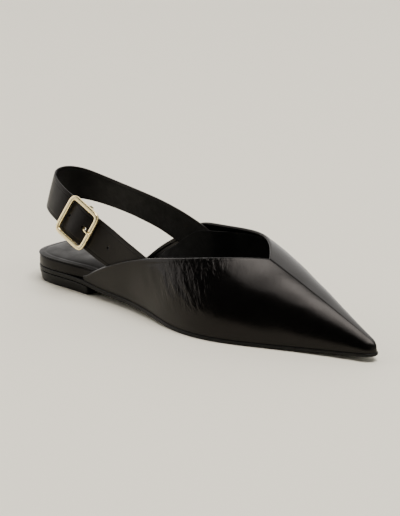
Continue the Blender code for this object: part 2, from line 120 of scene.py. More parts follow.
# Soft edges of the light overhead, of the pale backdrop behind the shoe and of the fill before its toe:
# which way each faces in, and the reach over which the light comes up
OVERHEAD_EDGES = (
    ((-0.680, 0.733, 0.44), (-0.06, 0.10)),
    ((0.680, -0.733, 0.18), (-0.06, 0.06)),
    ((1.141, 0.241, 0.05), (-0.13, 0.06)),
    ((-0.733, -0.680, 0.65), (-0.10, 0.12)),
)
BACKDROP_EDGES = (
    ((-0.94, 0.34, 0.0), (0.12, 0.42)),
    ((0.0, 0.0, -1.0), (-0.92, -0.62)),
)
SIDE_EDGES = (
    ((0.93, 0.36, 0.0), (0.30, 0.70)),
    ((0.0, 0.0, -1.0), (-0.80, -0.50)),
)


# Curves and tables


def faired(places, values, reach, taps=61):
    """Return a smooth curve through the rows, averaged over a short window."""
    steps = np.linspace(-reach, reach, taps + 2)[1:-1]
    shares = 1.0 - np.abs(steps) / reach
    shares = shares / shares.sum()

    def curve(x):
        return np.interp(np.asarray(x, float)[..., None] + steps, places, values) @ shares

    return curve


def table(names, reach, rows):
    """Return one smooth curve of x for each named column."""
    columns = np.array(rows, dtype=float).T
    return {name: faired(columns[0], column, reach) for name, column in zip(names.split(), columns)}


def smooth_step(value, low, high):
    """Share that eases from 0 at the low value to 1 at the high one."""
    share = np.clip((value - low) / (high - low), 0.0, 1.0)
    return share * share * (3.0 - 2.0 * share)


def unit(vectors, least=1e-9):
    """Vectors of length one, and near none where they have no length."""
    return vectors / np.maximum(np.linalg.norm(vectors, axis=-1, keepdims=True), least)


def run_lengths(points):
    """Distances along each row of points from its first one."""
    steps = np.linalg.norm(np.diff(points, axis=-2), axis=-1)
    return np.concatenate((np.zeros_like(steps[..., :1]), np.cumsum(steps, axis=-1)), axis=-1)


SOLE = table("x lateral medial tread thick", 13, (
    (-20, 25.2, 25.2, 7.0, 3.0),
    (40, 25.2, 25.0, 7.0, 3.0),
    (52, 25.4, 24.4, 6.8, 3.0),
    (62, 26.2, 23.6, 5.0, 3.1),
    (80, 26.8, 21.8, 3.9, 3.1),
    (97, 28.2, 20.8, 3.4, 3.0),
    (114, 31.4, 21.6, 2.5, 2.9),
    (131, 35.8, 25.2, 1.1, 2.7),
    (143, 38.0, 28.6, 0.0, 2.5),
    (155, 38.8, 31.4, 0.0, 2.5),
    (168, 37.6, 32.8, 0.0, 2.5),
    (180, 34.4, 32.0, 0.0, 2.5),
    (192, 29.6, 29.4, 0.0, 2.5),
    (205, 23.8, 25.0, 0.3, 2.4),
    (220, 17.4, 20.0, 0.9, 2.2),
    (235, 11.6, 15.4, 1.5, 2.1),
    (250, 6.4, 11.0, 2.3, 2.0),
    (266, 1.8, 6.8, 3.4, 2.0),
    (286, -4.0, 1.6, 5.0, 2.0),
))
BED = table("x footbed insole tuck", 11, (
    (-20, 17.0, 19.8, 0.2),
    (32, 17.0, 19.8, 0.2),
    (42, 17.0, 19.8, 0.8),
    (52, 16.8, 19.6, 2.8),
    (66, 15.6, 18.4, 3.0),
    (80, 13.4, 16.2, 3.0),
    (97, 11.2, 13.8, 3.0),
    (114, 9.0, 11.4, 3.0),
    (131, 6.8, 9.0, 3.0),
    (150, 4.8, 6.8, 3.0),
    (190, 4.6, 6.4, 3.0),
    (220, 4.9, 6.5, 3.4),
    (260, 7.0, 8.4, 4.0),
))
LAST = table("x ridge lateral_lean medial_lean lateral_drop medial_drop", 20, (
    (40, 88.0, 4.0, 8.0, 10.0, 3.0),
    (75, 82.0, 8.0, 14.0, 10.0, 3.0),
    (105, 76.0, 5.0, 15.0, 9.0, 3.0),
    (135, 67.5, 2.0, 7.0, 8.5, 2.0),
    (160, 58.0, 0.5, 2.0, 9.0, 0.5),
    (186, 46.5, 0.0, 0.5, 8.0, 0.0),
    (205, 38.3, 0.0, 1.5, 4.4, 0.3),
    (225, 29.4, 0.0, 2.5, 3.0, 0.5),
    (245, 20.2, 0.0, -0.5, 2.0, 0.5),
    (265, 11.0, 0.0, -2.0, 1.0, 0.4),
    (285, 2.0, 0.0, -2.0, 0.5, 0.2),
))
TOPLINE = table("x lateral medial", 9, (
    (42, 4.0, -4.0),
    (52, 10.4, 6.0),
    (63, 17.0, 16.0),
    (75, 23.2, 26.4),
    (90, 29.4, 35.4),
    (98, 32.2, 41.6),
    (106, 34.8, 47.4),
    (114, 37.0, 49.0),
    (126, 40.0, 49.6),
    (142, 43.0, 50.6),
    (158, 45.4, 51.4),
    (172, 46.6, 51.0),
    (187, 46.6, 46.6),
    (200, 42.0, 42.0),
))

# Strap: x, y and z of its middle line from the medial side round the heel to the lateral side, its
# width and its inward lean in degrees
STRAP_ROWS = (
    (116, 21.7, 35.0, 21.3, 0),
    (104, 21.8, 39.4, 21.3, 0),
    (90, 21.8, 43.9, 21.3, 3),
    (74, 22.2, 47.8, 21.3, 10),
    (50, 22.2, 51.5, 21.7, 16),
    (31, 21.6, 54.0, 21.9, 16),
    (17, 17.4, 57.0, 22.0, 15),
    (9.6, 9.4, 59.8, 22.4, 13),
    (7.4, 0.0, 61.4, 22.6, 13),
    (9.2, -10.4, 61.2, 22.2, 13),
    (17, -18.8, 59.2, 21.4, 16),
    (32, -24.2, 55.0, 20.6, 18),
    (51.5, -26.0, 47.2, 21.0, 18),
    (69, -25.7, 38.9, 23.8, 9),
    (80, -24.6, 34.1, 24.4, 0),
    (90, -24.6, 30.2, 24.4, 0),
    (105, -25.0, 26.6, 20.6, 0),
    (112, -25.4, 25.2, 18.4, 0),
)
BUCKLE_ROW = 12

# Layers at the buckle: places along the strap from the buckle's middle bar, and out from its middle line
BACK_OFFSETS = ((-40, 0.0), (-24, -0.2), (-14, -1.2), (-9, -1.1), (-4, -0.2), (4, 0.0))
FOLD_OFFSETS = ((-17, -2.9), (-13, -3.1), (-9, -3.1), (-4, -3.5), (0, -4.2))
FRONT_OFFSETS = (
    (-14, 0.75), (-10, 0.85), (-6, 1.6), (-2, 2.0), (3, 2.0), (6, 1.4), (10, 0.5), (15, 0.1), (22, 0.0),
)
FRONT_WIDENING = ((-14, 2.6), (-9, 2.6), (-5, 2.1), (-2.5, 0.8), (5, 0.5), (9, 0.3), (15, 0.0))
FRONT_TAIL = -13.4
FOLD_TAIL = -16.0
PRONG_ROUTE = ((2.4, -0.3), (4.6, 0.2), (6.3, 2.4), (8.4, 4.6), (11.4, 5.4), (12.7, 5.4), (14.2, 5.1))

# Slots for the prong in the fold and in the short strap: both ends along the strap, half width, and both ends
# out of it. Then the short strap's spare holes, along from the bar
FOLD_SLIT = ((-4.5, 5.0), 1.6, (-8.0, 1.1))
PRONG_HOLE = ((3.9, 7.6), 1.1, (-2.0, 4.0))
SPARE_HOLES = (-8.5, 27.0)
SPARE_HOLE_RADIUS = 0.8
SPARE_HOLE_REACH = 4.0

# Line pressed along both edges of a strap: place and half width as shares of its half width, and depth
PRESSED_LINE = (0.8, 0.022, 0.16)

# Prong: turn of its eye round the bar in degrees, rounding of its tip and of the eye's end, and its taper:
# share at the tip, length over which it grows by one, and the least share
PRONG_EYE = (20.0, -270.0)
PRONG_TIP = 0.7
PRONG_END = (0.15, 0.5)
PRONG_TAPER = (0.3, 14.0, 0.72)
PRONG_LEAST = 0.02

# Stitches of the fold: where the row starts and turns, where the strap's width is taken, margin and lift
STITCH_RUN = (-5.0, -14.0)
STITCH_MIDDLE = -10.0
STITCH_MARGIN = 2.2
STITCH_LIFT = 0.02

# Pockets of the lining round the straps' ends: side, where they open and close, and how far they stand in
POCKETS = {"lateral": (58, 78, 114, 132, 3.5), "medial": (70, 86, 120, 138, 3.5)}
POCKET_FOOT = (11.0, 22.0)

# Padded top of the insole: in from its edge, roll as a share of the full one, and groove inside the rim
INSOLE_ROLL = (
    (0.5, 0.94, 0.0), (1.3, 0.85, 0.0), (2.2, 0.76, -0.05), (2.7, 0.71, 0.05), (3.1, 0.67, 0.2),
    (3.6, 0.62, 0.22), (4.1, 0.58, 0.1), (4.8, 0.52, 0.0), (6.8, 0.36, 0.0), (9.0, 0.22, 0.0),
    (11.5, 0.11, 0.0), (14.0, 0.03, 0.0), (17.0, 0.0, 0.0),
)
INSOLE_ROLL_SHARE = 0.78
INSOLE_ROLL_WIDTH = 21.0

# Soft creases of each side of the vamp: place and depth below the topline of both ends, half width and depth
CREASES = {
    "lateral": (
        (110, 4, 120, 20, 2.6, 0.06),
        (119, 2, 128, 15, 2.0, 0.08),
        (123, 10, 134, 26, 2.2, 0.09),
        (128, 3, 137, 13, 1.5, 0.09),
        (130, 9, 146, 26, 1.8, 0.13),
        (136, 2, 146, 13, 1.3, 0.12),
        (139, 9, 154, 27, 1.5, 0.17),
        (144, 3, 156, 17, 1.4, 0.18),
        (148, 12, 163, 30, 1.5, 0.17),
        (152, 2, 162, 14, 1.3, 0.17),
        (156, 9, 168, 24, 1.4, 0.16),
        (161, 3, 170, 15, 1.3, 0.12),
        (166, 8, 175, 20, 1.6, 0.08),
    ),
    "medial": (
        (108, 4, 118, 21, 2.8, 0.05),
        (118, 3, 126, 17, 2.4, 0.07),
        (123, 11, 136, 27, 2.3, 0.07),
        (131, 2, 136, 13, 1.8, 0.06),
        (135, 8, 146, 24, 2.2, 0.09),
        (142, 3, 151, 14, 1.9, 0.06),
        (149, 10, 156, 25, 2.2, 0.06),
        (158, 4, 164, 16, 2.2, 0.05),
    ),
}

# Form of a crease: how far its line wanders and how fast, how fast it fades in and out, and the ridges beside
# its trough, their distance in half widths and their share of its depth
CREASE_WANDER = (0.5, 3.6)
CREASE_FADE = (3.0, 2.2)
CREASE_RIDGES = (1.9, 0.5)

# Where the leather's relief fades out: end and reach before the toe, reach below the topline and above the
# sole, reach of the creases above the sole, and end and reach of the fold before the throat's point
CALM_TOE = (8.0, 30.0)
CALM_TOP = 5.0
CALM_FOOT = 4.0
CREASE_FOOT = 6.0
FOLD_END = (6.0, 12.0)
FOLD_SOFTNESS = 0.22

# Leather turned in along the topline: its thickness as a share of the wall's, where its step starts as a
# share of the fold's width, and its reach before the throat's point
TURNED_IN = 0.85
TURNED_IN_START = 0.6
TURNED_IN_END = 8.0

# The vamp's open edge: reach of its lowering and of its turn to the throat's point, and its facing there
EDGE_DROP_REACH = 10.0
THROAT_REACH = 3.0
THROAT_FACING = (-0.97, 0.0, 0.24)

# Flex zone of the vamp, finely wrinkled: soft edges along the part's axes in metres, and the wrinkles' lean
FLEX_EDGES = (("X", -0.012, 0.006), ("X", 0.044, 0.026), ("Z", 0.008, 0.022))
FLEX_LEAN = math.radians(-32)


# Meshes


class Shell:
    """Points and faces of one piece, in the shoe's own millimetres."""

    def __init__(self):
        self.blocks = []
        self.faces = []
        self.count = 0

    def add(self, points):
        """Add a block of points and return their numbers in the same shape."""
        points = np.asarray(points, float)
        size = points[..., 0].size
        self.blocks.append(points.reshape(-1, 3))
        numbers = np.arange(self.count, self.count + size).reshape(points.shape[:-1])
        self.count += size
        return numbers

    def skin(self, rows, closed=False):
        """Join rows of points with quads, round each row too where it is closed."""
        if closed:
            rows = np.concatenate((rows, rows[:, :1]), axis=1)
        quads = np.stack((rows[:-1, :-1], rows[1:, :-1], rows[1:, 1:], rows[:-1, 1:]), axis=-1)
        self.faces += quads.reshape(-1, 4).tolist()

    def fill(self, ring):
        """Close a ring of points with a flat face."""
        self.faces.append(list(ring))

    def tube(self, rings):
        """Join closed rings of points, and close the first and the last."""
        rings = np.asarray(rings)
        self.skin(rings, closed=True)
        self.fill(rings[0])
        self.fill(rings[-1])


def to_frame(points):
    """Turn the shoe's own millimetres into the part's frame."""
    return (np.asarray(points, float) + (-LENGTH / 2, FOOT_AXIS, 0.0)) * MM


def new_object(name, data):
    made = bpy.data.objects.new(name, data)
    bpy.context.scene.collection.objects.link(made)
    return made


def shell_object(name, shell, smooth=40):
    """Make a mesh object of a shell, with its doubles merged and its faces outwards."""
    mesh = bpy.data.meshes.new(name)
    mesh.from_pydata(to_frame(np.concatenate(shell.blocks)).tolist(), [], shell.faces)
    shape = bmesh.new()
    shape.from_mesh(mesh)
    bmesh.ops.remove_doubles(shape, verts=shape.verts, dist=MERGE)
    bmesh.ops.recalc_face_normals(shape, faces=shape.faces)
    if shape.calc_volume(signed=True) < 0:
        bmesh.ops.reverse_faces(shape, faces=shape.faces)
    shape.to_mesh(mesh)
    shape.free()
    mesh.shade_smooth()
    mesh.set_sharp_from_angle(angle=math.radians(smooth))
    return new_object(name, mesh)


def baked(made):
    """Turn an object's modifiers into its plain mesh."""
    graph = bpy.context.evaluated_depsgraph_get()
    mesh = bpy.data.meshes.new_from_object(made.evaluated_get(graph))
    made.modifiers.clear()
    made.data = mesh


def cut(made, *cutters):
    """Cut helper shapes out of a piece and remove them."""
    for cutter in cutters:
        modifier = made.modifiers.new(cutter.name, "BOOLEAN")
        modifier.operation = "DIFFERENCE"
        modifier.solver = "EXACT"
        modifier.object = cutter
    bpy.context.view_layer.update()
    baked(made)
    for cutter in cutters:
        bpy.data.objects.remove(cutter)


def dress(made, finish, slot, *nodes):
    """Give a piece its finish, and let it ride on the shoe in place of its solids. The slot argument is not
    used.
    """
    made.data.materials.clear()
    made.data.materials.append(finish)
    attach(made, "root")
    if nodes:
        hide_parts(*nodes)


# Sole layers


def end_factor(distance, reach, power=2.0):
    """Share of the full width at a distance from a rounded end."""
    inward = np.clip(1.0 - np.asarray(distance, float) / reach, 0.0, 1.0)
    return np.maximum(0.0, 1.0 - inward ** power) ** (1.0 / power)


def outline(x, inset):
    """Middle and half width of the sole's plan, before its ends are rounded."""
    lateral = SOLE["lateral"](x)
    medial = SOLE["medial"](x)
    return (medial - lateral) / 2, (medial + lateral) / 2 - inset


def sole_top(x):
    return SOLE["tread"](x) + SOLE["thick"](x)


def stations(front, front_round, step=1.6, turns=18):
    """Places along a plan from the heel, close together where its ends turn."""
    turn = 1.0 - np.cos(np.linspace(0.0, math.pi / 2, turns + 1))
    start = HEEL_ROUND * turn
    end = front - front_round * turn[::-1]
    inner = np.linspace(start[-1], end[0], max(2, round((end[0] - start[-1]) / step)) + 1)[1:-1]
    return np.concatenate((start, inner, end))


def plan_rows(places, inset, height, front_round):
    """Lateral and medial points of one level of a plan, end points in both."""
    share = end_factor(places, HEEL_ROUND, HEEL_POWER) * end_factor(places[-1] - places, front_round)
    middle, half = outline(places, inset)
    along = places + inset * (1.0 - 2.0 * places / places[-1])
    lateral = np.stack((along, middle - half * share, height), axis=-1)
    medial = np.stack((along, middle + half * share, height), axis=-1)
    return lateral, medial


def rounded_levels(inset, low, high, low_round, high_round, steps=6):
    """Levels of a layer's side with rounded edges: pairs of inset and height."""
    turn = np.linspace(0.0, math.pi / 2, steps + 1)
    levels = [(inset + low_round * (1 - math.sin(t)), low + low_round * (1 - math.cos(t))) for t in turn]
    levels += [(inset + high_round * (1 - math.cos(t)), high - high_round * (1 - math.sin(t))) for t in turn]
    return levels


def layer_shell(places, front_round, levels, dish=0.0, lines=10, dish_power=0.6):
    """Make one layer of the sole from its levels, its top dished across."""
    shell = Shell()
    rings = []
    for inset, height in levels:
        lateral, medial = plan_rows(places, inset, height, front_round)
        rings.append(shell.add(np.concatenate((lateral, medial[-2:0:-1]))))
    shell.skin(np.array(rings), closed=True)
    across = np.linspace(0.0, 1.0, lines + 1)
    for (inset, height), depth in ((levels[0], 0.0), (levels[-1], dish)):
        lateral, medial = plan_rows(places, inset, height, front_round)
        rows = lateral[:, None] + (medial - lateral)[:, None] * across[:, None]
        narrow = np.minimum(1.0, (medial - lateral)[:, 1] / HEEL_ROUND)
        rows[..., 2] -= depth * narrow[:, None] * np.sin(math.pi * across) ** dish_power
        shell.skin(shell.add(rows))
    return shell


# Vamp


def last_points(x, side, rise, inset):
    """Points of the last's sections: rise runs from the sole's edge, 0, to the ridge, 1."""
    share = end_factor(LENGTH - VAMP_SET_IN - x, TOE_ROUND)
    middle, half = outline(x, VAMP_SET_IN + inset)
    half = half * share
    foot = sole_top(x) + GAP
    height = (LAST["ridge"](x) - foot - inset) * (1.0 - NOSE_DROP * (1.0 - share))
    lean = LAST[side + "_lean"](x) * share
    drop = LAST[side + "_drop"](x) * share
    wall = NOSE_RISE + (WALL_RISE[side] - NOSE_RISE) * share
    weights = ((1 - rise) ** 3, 3 * rise * (1 - rise) ** 2, 3 * rise ** 2 * (1 - rise), rise ** 3)
    across = weights[0] * half + weights[1] * (half + lean) + weights[2] * SHOULDER[side] * half
    up = weights[1] * wall * height + weights[2] * (height - drop) + weights[3] * height
    pull = np.maximum(0.0, 1.0 - (LENGTH - x) / TOE_WALL_REACH) ** 2
    along = x - TOE_WALL * pull * inset / VAMP_WALL
    return np.stack(np.broadcast_arrays(along, middle + SIDE[side] * across, foot + up), axis=-1)


def rise_at(x, side, height, halvings=40):
    """Rise at which each section of the last reaches a height."""
    low, high = np.zeros_like(x), np.ones_like(x)
    for _ in range(halvings):
        half = (low + high) / 2
        under = last_points(x[:, None], side, half[:, None], 0.0)[:, 0, 2] < height
        low, high = np.where(under, half, low), np.where(under, high, half)
    return low


def topline_rises(side, x, throat, count=24, reach=8):
    """Rise of the vamp's upper edge along one side, 1 from the throat's point forward."""
    places = np.linspace(VAMP_REAR, VAMP_THROAT, count)
    rises = rise_at(places, side, TOPLINE[side](places))
    rises[-1] = 1.0
    ahead = 2 * VAMP_THROAT - places[-2::-1]
    curve = faired(np.concatenate((places, ahead)), np.concatenate((rises, 2.0 - rises[-2::-1])), reach)
    return np.where(x >= throat, 1.0, np.minimum(curve(x - throat + VAMP_THROAT), 1.0))


def vamp_places(throat, rear=190, front=70, nose=12):
    """Places of the vamp's sections, the throat's point among them."""
    tip = LENGTH - VAMP_SET_IN
    turn = np.sin(np.linspace(0.0, math.pi / 2, nose + 1))[1:]
    return np.concatenate((
        np.linspace(VAMP_REAR, throat, rear),
        np.linspace(throat, tip - TOE_ROUND, front)[1:],
        tip - TOE_ROUND * (1.0 - turn),
    ))


def grid_normals(points, side):
    """Outward directions of a grid of the vamp's points."""
    normal = unit(np.cross(np.gradient(points, axis=0), np.gradient(points, axis=1)))
    outward_and_up = np.array((0.0, SIDE[side], 0.5))
    return normal * np.where(normal @ outward_and_up < 0, -1.0, 1.0)[..., None]


def crease_relief(side, x, below):
    """Height of the soft creases over the smooth leather, from place and depth below the topline."""
    relief = np.zeros_like(below)
    for x0, d0, x1, d1, width, depth in CREASES[side]:
        along = np.array((x1 - x0, d1 - d0), float)
        span = np.linalg.norm(along)
        along /= span
        u = ((x - x0) * along[0] + (below - d0) * along[1]) / span
        v = ((x - x0) * along[1] - (below - d0) * along[0]) / width
        v += CREASE_WANDER[0] * np.sin(CREASE_WANDER[1] * u + x0)
        fade = np.clip(u * CREASE_FADE[0], 0, 1) * np.clip((1 - u) * CREASE_FADE[1], 0, 1)
        trough = np.exp(-v ** 2)
        ridges = np.exp(-(v - CREASE_RIDGES[0]) ** 2) + np.exp(-(v + CREASE_RIDGES[0]) ** 2)
        relief += depth * smooth_step(fade, 0, 1) * (CREASE_RIDGES[1] * ridges - trough)
    return relief


def leather_swell(x, up):
    """Slow unevenness of leather drawn over the last: a few waves that cross, each of a few millimetres."""
    swell = np.sin(x / 6.1 + 0.6 * np.sin(up / 8.0)) * np.sin(up / 7.3 + 1.3)
    swell += 0.7 * np.sin(x / 11.7 + up / 9.1 + 0.8) + 0.5 * np.sin(x / 3.9 - up / 6.7)
    return swell


def outer_relief(side, x, points, sizes):
    """Height of the topline's folded edge, the creases and the leather's unevenness."""
    up = run_lengths(points)
    below = up[:, -1:] - up
    calm = np.clip(below / CALM_TOP, 0, 1) * np.clip(up / CALM_FOOT, 0, 1)
    calm = calm * np.clip((LENGTH - CALM_TOE[0] - x) / CALM_TOE[1], 0, 1)
    relief = sizes.unevenness / MM * leather_swell(x, up) * calm
    relief += crease_relief(side, x, below) * np.clip(up / CREASE_FOOT, 0, 1)
    fold = 1.0 / (1.0 + np.exp((below - sizes.fold_width / MM) / FOLD_SOFTNESS))
    open_edge = np.clip((VAMP_THROAT - FOLD_END[0] - x) / FOLD_END[1], 0, 1)
    return relief + sizes.fold_height / MM * fold * open_edge


def pocketed(points, x, side):
    """Lining points stood in from the wall, so that the strap's end lies behind them."""
    back, start, end, front, depth = POCKETS[side]
    share = smooth_step(x, back, start) * (1.0 - smooth_step(x, end, front))
    shift = depth * share * smooth_step(points[..., 2], *POCKET_FOOT)
    points = points.copy()
    points[..., 1] -= SIDE[side] * shift
    return points


def turned_in(outer, inner, x, throat, width):
    """Inner wall with the leather turned in double along the topline."""
    up = run_lengths(outer)
    share = 1.0 - smooth_step(up[:, -1:] - up, width * TURNED_IN_START, width)
    share = share * (1.0 - smooth_step(x[:, None], throat - TURNED_IN_END, throat))
    return inner + (inner - outer) * TURNED_IN * share[..., None]


def edge_arc(outer, inner, x, throat, steps):
    """Half round of points from the outer wall's top row over to the inner wall's."""
    top = outer[:, -1]
    middle, half = (top + inner[:, -1]) / 2, (top - inner[:, -1]) / 2
    lift = np.cross(np.gradient(top, axis=0), half)
    lift = unit(lift * np.sign(np.sum(lift * (top - outer[:, -2]), axis=-1, keepdims=True)))
    blend = np.clip((x - throat + THROAT_REACH) / THROAT_REACH, 0, 1)[:, None]
    lift = unit(lift * (1 - blend) + np.array(THROAT_FACING) * blend)
    reach = np.linalg.norm(half, axis=-1, keepdims=True)
    turn = (np.arange(1, steps + 1) * math.pi / (steps + 1))[:, None]
    return middle[:, None] + half[:, None] * np.cos(turn) + (lift * reach)[:, None] * np.sin(turn)


def vamp_shell(insets, throat, rows, edge_steps, sizes=None, edge_drop=0.0, pockets=False):
    """Make a hollow layer of the vamp: both walls of both sides, joined round its open edges."""
    shell = Shell()
    x = vamp_places(throat)
    opened = slice(int(np.argmin(np.abs(x - throat))) + 1)
    column = x[:, None]
    for side in SIDE:
        girth = run_lengths(last_points(column, side, np.linspace(0, 1, 40)[None], 0.0))[:, -1]
        tops = topline_rises(side, x, throat)
        tops = tops - edge_drop / girth * np.clip((throat - x) / EDGE_DROP_REACH, 0, 1)
        rises = np.maximum(tops, 0.0)[:, None] * np.linspace(0.0, 1.0, rows + 1)
        outer, inner = (last_points(column, side, rises, inset) for inset in insets)
        if pockets:
            outer, inner = pocketed(outer, column, side), pocketed(inner, column, side)
        if sizes:
            inner = turned_in(outer, inner, x, throat, sizes.fold_width / MM)
            outer = outer + grid_normals(outer, side) * outer_relief(side, column, outer, sizes)[..., None]
        outside, inside = shell.add(outer), shell.add(inner)
        edge = shell.add(edge_arc(outer[opened], inner[opened], x[opened], throat, edge_steps))
        shell.skin(outside)
        shell.skin(inside)
        shell.skin(np.stack((outside[:, 0], inside[:, 0])))
        shell.skin(np.concatenate((outside[opened, -1:], edge, inside[opened, -1:]), axis=1))
        shell.skin(np.stack((outside[0], inside[0])))
        shell.fill([outside[0, -1], *edge[0], inside[0, -1]])
    return shell


# Straps


class StrapLine:
    """The strap's middle line with its frame, measured along from the buckle's middle bar."""

    def __init__(self):
        rows = np.array(STRAP_ROWS, dtype=float)
        lengths = run_lengths(rows[:, :3])
        lengths -= lengths[BUCKLE_ROW]
        self.start = float(lengths[0])
        self.end = float(lengths[-1])
        self.curves = [faired(lengths, column, STRAP_FAIRING) for column in rows.T]

    def place(self, along):
        return np.stack([curve(along) for curve in self.curves[:3]], axis=-1)

    def width(self, along):
        return self.curves[3](along)

    def frame(self, along, step=0.5):
        """Directions along the strap, across it and out of it."""
        along = np.asarray(along, float)
        ahead = unit(self.place(along + step) - self.place(along - step))
        up = np.array((0.0, 0.0, 1.0))
        across = unit(up - ahead * ahead[..., 2:3])
        out = np.cross(ahead, across)
        lean = np.radians(self.curves[4](along))[..., None]
        leaning = across * np.cos(lean) - out * np.sin(lean)
        return ahead, leaning, np.cross(ahead, leaning)


def offset_curve(rows, reach=3.2):
    """Offset of a layer from the strap's middle line, along from the buckle."""
    places, offsets = np.array(rows, dtype=float).T
    return faired(places, offsets, reach)


def turn_radius():
    """Radius of the fold's middle as it goes round the bar."""
    return BAR_RADIUS + GAP + STRAP_THICKNESS / 2


def bar_offset():
    """How far the middle bar's axis lies out from the strap's middle line."""
    return float(offset_curve(BACK_OFFSETS)(0.0)) - turn_radius()


def ribbon_shell(route, low, high, margin, crown, edge, turns, steps):
    """Sweep a strap layer with rounded edges along its route, with pressed lines if its face is crowned."""
    places, across, out, widths = route
    face = np.linspace(1.0, -1.0, steps + 1)[1:-1]
    dent = 0.0
    if crown:
        line, spread, depth = PRESSED_LINE
        pressed = line + spread * np.linspace(-2.0, 2.0, 7)
        face = np.sort(np.concatenate((face, pressed, -pressed)))[::-1]
        dent = depth * np.exp(-((np.abs(face) - line) / spread) ** 2)
    flat = np.zeros_like(face)
    quarter = np.linspace(0.0, math.pi / 2, turns + 1)
    corners = [quarter + i * math.pi / 2 for i in range(4)]
    level_at = (high - edge, high - edge, low + edge, low + edge)
    ends = [np.full_like(quarter, sign) for sign in (1.0, -1.0, -1.0, 1.0)]
    asides = [edge * np.cos(corner) for corner in corners]
    levels = [level + edge * np.sin(corner) for level, corner in zip(level_at, corners)]
    crowned = high + crown * (1 - face ** 2) - dent
    share = np.concatenate((ends[0], face, ends[1], ends[2], -face, ends[3]))
    aside = np.concatenate((asides[0], flat, asides[1], asides[2], flat, asides[3]))
    level = np.concatenate((levels[0], crowned, levels[1], levels[2], low + flat, levels[3]))
    over = share * (widths[:, None] / 2 - margin - edge) + aside
    shell = Shell()
    shell.tube(shell.add(places[:, None] + across[:, None] * over[..., None] + out[:, None] * level[:, None]))
    return shell


def back_route(line, step=1.1, turns=16):
    """Places and directions of the sling strap, round the heel and back round the buckle's bar."""
    offset, fold = offset_curve(BACK_OFFSETS), offset_curve(FOLD_OFFSETS)
    main = np.linspace(line.start, 0.0, round(-line.start / step))
    _, across, out = line.frame(main)
    places = line.place(main) + out * offset(main)[:, None]
    ahead, over, away = line.frame(0.0)
    radius = turn_radius()
    centre = line.place(0.0) + away * bar_offset()
    angle = math.pi / 2 - math.pi * np.arange(1, turns)[:, None] / turns
    spoke = ahead * np.cos(angle) + away * np.sin(angle)
    tail = np.linspace(0.0, FOLD_TAIL, 18)
    _, tail_across, tail_out = line.frame(tail)
    tail_places = line.place(tail) + tail_out * fold(tail)[:, None]
    return (
        np.concatenate((places, centre + spoke * radius, tail_places)),
        np.concatenate((across, np.repeat(over[None], turns - 1, axis=0), tail_across)),
        np.concatenate((out, spoke, -tail_out)),
        np.concatenate((line.width(main), np.repeat(line.width(0.0), turns - 1), line.width(tail))),
    )


def front_route(line, step=0.8):
    """Places and directions of the short strap, from its tail in the buckle to the lateral wall."""
    offset = offset_curve(FRONT_OFFSETS)
    along = np.linspace(FRONT_TAIL, line.end, round((line.end - FRONT_TAIL) / step))
    _, across, out = line.frame(along)
    widths = line.width(along) + offset_curve(FRONT_WIDENING)(along)
    return line.place(along) + out * offset(along)[:, None], across, out, widths


def buckle_point(line, along, across, out):
    """Point in the buckle's own directions from the middle of the strap at its bar."""
    ahead, up, outward = line.frame(0.0)
    return line.place(0.0) + ahead * along + up * across + outward * out


def slot_cutter(line, name, along, half_width, depth, sides=12):
    """Slot with round ends through the strap, between two places along it."""
    shell = Shell()
    turn = np.linspace(-math.pi / 2, math.pi / 2, sides + 1)
    rim = [(along[1] - half_width + half_width * math.cos(t), half_width * math.sin(t)) for t in turn]
    rim += [(along[0] + half_width - half_width * math.cos(t), -half_width * math.sin(t)) for t in turn]
    shell.tube([shell.add([buckle_point(line, a, c, level) for a, c in rim]) for level in depth])
    return shell_object(name, shell)


def rod_shell(centre, axis, half_length, radius, sides=32):
    """Closed cylinder about a point."""
    shell = Shell()
    askew = (0.3, 0.5, 0.8)
    side = unit(np.cross(axis, askew))
    other = np.cross(axis, side)
    turn = np.linspace(0.0, 2 * math.pi, sides, endpoint=False)[:, None]
    spoke = side * np.cos(turn) + other * np.sin(turn)
    shell.tube([shell.add(centre + axis * reach + spoke * radius) for reach in (-half_length, half_length)])
    return shell


# Buckle


def section_ring(half_wide, half_high, edge, steps=5):
    """Rounded rectangle of the buckle's metal: away from the frame's middle and out of it."""
    points = []
    for quarter, (sx, sy) in enumerate(((1, 1), (-1, 1), (-1, -1), (1, -1))):
        for i in range(steps + 1):
            angle = math.pi / 2 * (quarter + i / steps)
            points.append((sx * (half_wide - edge) + edge * math.cos(angle),
                           sy * (half_high - edge) + edge * math.sin(angle)))
    return np.array(points)


def frame_shell(line, edge, steps=96):
    """Square frame with soft corners, its sides bowed out a little."""
    shell = Shell()
    ahead, across, out = line.frame(0.0)
    centre = buckle_point(line, 0.0, 0.0, FRAME_LIFT + FRAME_THICK / 2)
    ring = section_ring(FRAME_BAR / 2, FRAME_THICK / 2, edge)
    reach = (FRAME_ALONG - FRAME_BAR) / 2, (FRAME_ACROSS - FRAME_BAR) / 2
    turn = np.linspace(0.0, 2 * math.pi, steps, endpoint=False)
    turn = turn + FRAME_CROWDING * np.sin(4 * turn)
    spoke = np.stack((np.cos(turn), np.sin(turn)), axis=-1)
    plan = spoke / (np.abs(spoke) ** FRAME_POWER).sum(axis=-1, keepdims=True) ** (1 / FRAME_POWER)
    facing = unit(np.sign(plan) * np.abs(plan) ** (FRAME_POWER - 1) / reach)
    middle = centre + np.outer(plan[:, 0] * reach[0], ahead) + np.outer(plan[:, 1] * reach[1], across)
    away = np.outer(facing[:, 0], ahead) + np.outer(facing[:, 1], across)
    rings = shell.add(middle[:, None] + away[:, None] * ring[:, :1] + out * ring[:, 1:])
    shell.skin(np.concatenate((rings, rings[:1])), closed=True)
    return shell


